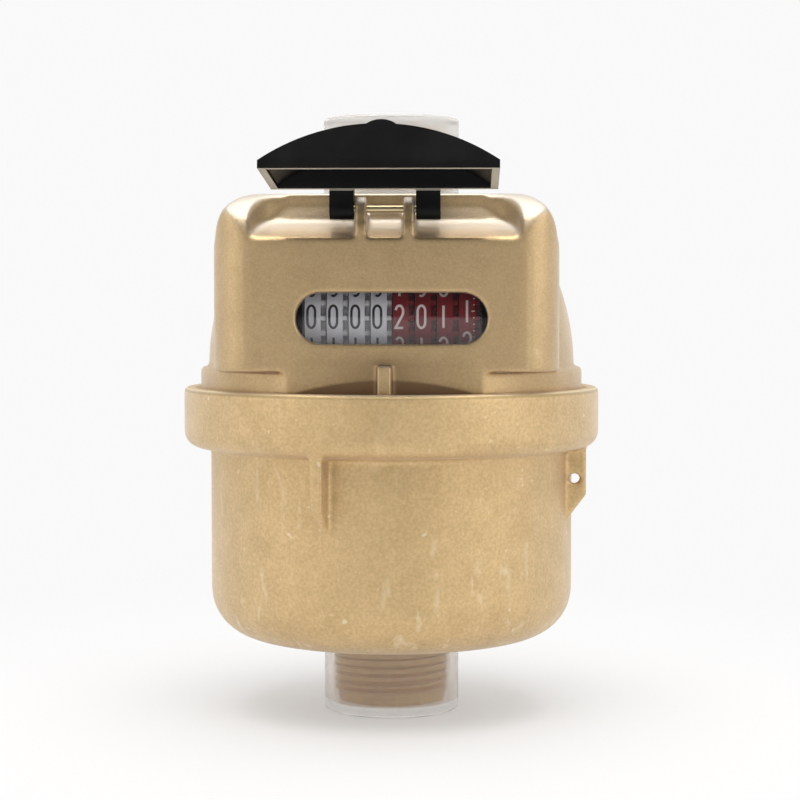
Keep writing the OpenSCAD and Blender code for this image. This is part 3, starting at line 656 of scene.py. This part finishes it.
drum_white = moulded_plastic(
    "drum_white", DRUM_WHITE, DRUM_WHITE_DUSTY, roughness=0.45, relief=0.1, gloss=0.25)
# The gear teeth get a paler white than the rims: painted light that lifts the shade in the gaps
# between them.
drum_teeth_painted_light = moulded_plastic(
    "drum_teeth_painted_light", DRUM_TEETH_PAINTED_LIGHT, dusty=None, roughness=0.45, relief=0.1, gloss=0.25,
    Subsurface_Weight=1.0, Subsurface_Scale=TEETH_SCATTER, Subsurface_Radius=(1, 1, 1))
drum_red = moulded_plastic(
    "drum_red", DRUM_RED, DRUM_RED_DUSTY, roughness=0.4, relief=0.1, gloss=0.25)
ink_black = moulded_plastic("ink_black", INK_BLACK, dusty=None, roughness=0.5, relief=0.05)
ink_white = moulded_plastic("ink_white", INK_WHITE, dusty=None, roughness=0.5, relief=0.05)
for number, shown in enumerate(SHOWN, start=1):
    drum_name = f"number_drum_{number}"
    white = number <= WHITE_DRUMS
    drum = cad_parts[drum_name]
    paint(drum, drum_white if white else drum_red)
    drum_low, drum_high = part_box(drum_name)
    drum_r = (drum_high.z - drum_low.z) / 2
    rim_w = drum_high.x - drum_low.x - GEAR_W
    if white:
        drum.data.materials.append(drum_teeth_painted_light)
        for face in drum.data.polygons:
            face.material_index = int(face.center.x > drum_low.x + rim_w + GEAR_SLACK)
    rim_centre = Vector((
        drum_low.x + rim_w / 2,
        (drum_low.y + drum_high.y) / 2,
        (drum_low.z + drum_high.z) / 2))
    marks = [
        (FIGURE_SHIFT, (figure - shown - ROLLED_ON) * FIGURE_STEP, line, FIGURE_STROKE)
        for figure in range(FIGURES) for line in figure_strokes(figure)]
    if number == len(SHOWN):
        marks = [(x + LAST_SHIFT, angle, line, width) for x, angle, line, width in marks]
        for tick in range(FIGURES * TICKS_PER_FIGURE):
            length = TICK_LONG if tick % TICKS_PER_FIGURE == 0 else TICK_SHORT
            start = rim_w / 2 - length
            marks.append((0.0, (tick / TICKS_PER_FIGURE - shown - ROLLED_ON) * FIGURE_STEP,
                          [(start, 0.0), (start + length - TICK_INSET, 0.0)], TICK_STROKE))
    figures = print_on_rim(f"figures_{number}", marks, rim_centre, drum_r)
    paint(figures, ink_black if white else ink_white)
    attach(figures, drum_name)


# Window
# A flat clear plate behind the opening of the face, with faint smears that dull it in places.
# It sits on a thin rubber gasket. The seal between head and cup is of the same rubber.
SMEAR_RANGE = (0.45, 0.8)
SMEAR_DULLNESS = 0.06
RUBBER_BLACK = (0.012, 0.012, 0.012, 1)
RUBBER_DUSTY = (0.03, 0.03, 0.03, 1)

window_clear, window_tree, window_shader = material(
    "window_clear", Base_Color=(1, 1, 1, 1), Transmission_Weight=1.0, IOR=1.42)
smear_place = add(window_tree, "TexCoord").outputs["Object"]
smear = add(window_tree, "TexNoise", {
    "Vector": smear_place, "Scale": 160.0, "Detail": 3.0}).outputs[0]
smeared = ramp(window_tree, smear, *SMEAR_RANGE, 0.0, SMEAR_DULLNESS)
window_tree.links.new(smeared, window_shader.inputs["Roughness"])
paint(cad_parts["window_glass"], window_clear)
rubber_black = moulded_plastic(
    "rubber_black", RUBBER_BLACK, RUBBER_DUSTY, roughness=0.6, relief=0.3)
for name in ("window_gasket", "head_seal"):
    paint(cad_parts[name], rubber_black)


# Thread protectors
# Push-on caps of soft plastic over both stubs, with a faint ripple from the mould. The lower
# one is clear and shows the thread in it, the upper one is milky.
CAP_WARM = (0.915, 0.865, 0.815, 1)
CAP_WHITE = (0.94, 0.915, 0.885, 1)
CAP_DULLNESS = (0.1, 0.2)


def cap_plastic(name, tint, clearness):
    """Soft clear plastic with a milky share and a faint ripple along the cap."""
    finish, tree, shader = material(name, Base_Color=tint, Transmission_Weight=clearness, IOR=1.3)
    place = add(tree, "TexCoord").outputs["Object"]
    along = add(tree, "Mapping", {"Vector": place, "Scale": (1.0, 1.0, 0.25)}).outputs[0]
    ripple = add(tree, "TexNoise", {"Vector": along, "Scale": 220.0, "Detail": 2.0}).outputs[0]
    dullness = ramp(tree, ripple, *DRIFT_RANGE, *CAP_DULLNESS)
    tree.links.new(dullness, shader.inputs["Roughness"])
    bump = add(tree, "Bump", {"Strength": 0.25, "Distance": 0.3 * MM, "Height": ripple})
    tree.links.new(bump.outputs[0], shader.inputs["Normal"])
    return finish


paint(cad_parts["inlet_cap"], cap_plastic("cap_clear", CAP_WARM, clearness=0.86))
paint(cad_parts["outlet_cap"], cap_plastic("cap_misty", CAP_WHITE, clearness=0.6))


# Register and measuring chamber
# The moulded pieces inside the meter: frame, gearbox, pinions, chamber, piston and strainer.
# Of these, only the pale frame and the pinions show, at the ends of the window.
FRAME_GREY = (0.64, 0.63, 0.62, 1)
FRAME_GREY_DUSTY = (0.68, 0.67, 0.66, 1)
INNER_GREY = (0.10, 0.10, 0.105, 1)
INNER_GREY_DUSTY = (0.13, 0.13, 0.13, 1)
INNER_BLACK = (0.02, 0.02, 0.021, 1)
INNER_BLACK_DUSTY = (0.035, 0.034, 0.034, 1)
INNER_WHITE = (0.70, 0.69, 0.67, 1)
INNER_WHITE_DUSTY = (0.62, 0.61, 0.58, 1)

frame_grey = moulded_plastic(
    "frame_grey", FRAME_GREY, FRAME_GREY_DUSTY, roughness=0.5, relief=0.2)
inner_grey = moulded_plastic(
    "inner_grey", INNER_GREY, INNER_GREY_DUSTY, roughness=0.5, relief=0.2)
inner_black = moulded_plastic(
    "inner_black", INNER_BLACK, INNER_BLACK_DUSTY, roughness=0.45, relief=0.2)
inner_white = moulded_plastic(
    "inner_white", INNER_WHITE, INNER_WHITE_DUSTY, roughness=0.45, relief=0.1)
inner_finish = {
    "register_frame": frame_grey, "register_floor": inner_grey,
    "chamber_case": inner_grey, "chamber_cover": inner_grey,
    "register_gearbox": inner_black, "rotary_piston": inner_black,
    "drive_crank": inner_white, "inlet_strainer": inner_white,
}
for number in range(1, len(SHOWN)):
    inner_finish[f"transfer_pinion_{number}"] = inner_white
for name, finish in inner_finish.items():
    paint(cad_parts[name], finish)


# Studio
# A pale floor that keeps the shadow, a white surround that is dimmer on the viewer's side and
# darkest where the viewer stands, as metal and glass mirror it, and soft lamps above and at both
# sides. The camera stands at the height of the window, a little to the right of the front.
CAMERA_DISTANCE = 470 * MM
CAMERA_HEIGHT = 94.2 * MM
CAMERA_AZIMUTH = math.radians(2.2)
CAMERA_TILT = math.radians(2.914)
CAMERA_LENS = 92.8
AXIS_OFFSET = 1.94 * MM
BACKDROP_WHITE = (0.95, 0.95, 0.95, 1)
FLOOR_SIZE = 16.5
FLOOR_WHITE = (0.78, 0.775, 0.77, 1)
FLOOR_GLOW_NEAR = 0.4
FLOOR_GLOW_RANGE = (20 * MM, 200 * MM)
SURROUND_SHARE = 0.75
VIEWER_SIDE = (-0.9, 0.2)
VIEWER_SIDE_LEVEL = 0.45
VIEWER_CONE = (-0.993, -0.972)
VIEWER_DIM = 0.3

scene = bpy.context.scene
scene.view_settings.view_transform = "Standard"

bpy.ops.object.select_all(action="DESELECT")
bpy.ops.mesh.primitive_plane_add(size=FLOOR_SIZE, location=(0, 0, 0))
floor = bpy.context.object
floor.name = "studio_floor"
floor_finish, floor_tree, floor_shader = material(
    "floor_pale", Base_Color=FLOOR_WHITE, Roughness=0.75)
floor_out = floor_tree.nodes["Material Output"]
floor_place = add(floor_tree, "TexCoord").outputs["Object"]
floor_distance = add(
    floor_tree, "VectorMath", {0: floor_place}, operation="LENGTH").outputs["Value"]


def seen_plainly(tree):
    """One where a camera, glossy or transmission ray looks, to show the backdrop plainly."""
    path = add(tree, "LightPath").outputs
    sharp = math_of(tree, "ADD", path["Is Glossy Ray"], path["Is Transmission Ray"])
    return math_of(tree, "MINIMUM", math_of(tree, "ADD", path["Is Camera Ray"], sharp), 1.0)


seen = seen_plainly(floor_tree)
far_white = add(floor_tree, "Emission", {"Color": BACKDROP_WHITE, "Strength": 1.0}).outputs[0]
glow = ramp(floor_tree, floor_distance, *FLOOR_GLOW_RANGE, FLOOR_GLOW_NEAR, 1.0)
fade = math_of(floor_tree, "MULTIPLY", glow, seen)
floor_mix = add(floor_tree, "MixShader", {0: fade, 1: floor_shader.outputs[0], 2: far_white})
floor_tree.links.new(floor_mix.outputs[0], floor_out.inputs["Surface"])
paint(floor, floor_finish)

world = bpy.data.worlds.new("studio_surround")
scene.world = world
world.use_nodes = True
sky = world.node_tree
sky_out = sky.nodes["World Output"]
direction = add(sky, "TexCoord").outputs["Generated"]
depth = add(sky, "SeparateXYZ", {0: direction}).outputs["Y"]
behind = ramp(sky, depth, *VIEWER_SIDE, VIEWER_SIDE_LEVEL, 1.0)
shaded = ramp(sky, depth, *VIEWER_CONE, 1.0 - VIEWER_DIM, 0.0)
mirrored = math_of(sky, "MULTIPLY", add(sky, "LightPath").outputs["Is Glossy Ray"], shaded)
unshaded = math_of(sky, "SUBTRACT", 1.0, mirrored)
diffuse_level = math_of(sky, "MULTIPLY", behind, SURROUND_SHARE)
surround = add(sky, "Background", {"Color": (1, 1, 1, 1), "Strength": diffuse_level}).outputs[0]
mirror_level = math_of(sky, "MULTIPLY", behind, unshaded)
backdrop = add(sky, "Background", {"Color": BACKDROP_WHITE, "Strength": mirror_level}).outputs[0]
sky_mix = add(sky, "MixShader", {0: seen_plainly(sky), 1: surround, 2: backdrop})
sky.links.new(sky_mix.outputs[0], sky_out.inputs["Surface"])

middle = (cad_low + cad_high) / 2


def soft_lamp(name, place, size, power):
    """A square area lamp that faces the middle of the object."""
    lamp_data = bpy.data.lights.new(name, "AREA")
    lamp_data.size = size
    lamp_data.energy = power
    lamp = bpy.data.objects.new(name, lamp_data)
    scene.collection.objects.link(lamp)
    lamp.location = place
    lamp.rotation_euler = (middle - Vector(place)).to_track_quat("-Z", "Y").to_euler()


soft_lamp("lamp_top", place=(0.0, -0.25, 1.0), size=0.9, power=9.5)
soft_lamp("lamp_left", place=(-0.8, -0.5, 0.4), size=0.8, power=1.4)
soft_lamp("lamp_right", place=(0.8, -0.5, 0.4), size=0.8, power=2.0)

camera_data = bpy.data.cameras.new("camera")
camera_data.lens = CAMERA_LENS
camera = bpy.data.objects.new("camera", camera_data)
scene.collection.objects.link(camera)
camera_right = Vector((math.cos(CAMERA_AZIMUTH), math.sin(CAMERA_AZIMUTH), 0))
camera.location = Vector((
    CAMERA_DISTANCE * math.sin(CAMERA_AZIMUTH),
    -CAMERA_DISTANCE * math.cos(CAMERA_AZIMUTH),
    CAMERA_HEIGHT))
aim_z = CAMERA_HEIGHT - CAMERA_DISTANCE * math.tan(CAMERA_TILT)
aim = Vector((0, 0, aim_z)) + camera_right * AXIS_OFFSET
camera.rotation_euler = (aim - camera.location).to_track_quat("-Z", "Y").to_euler()
scene.camera = camera
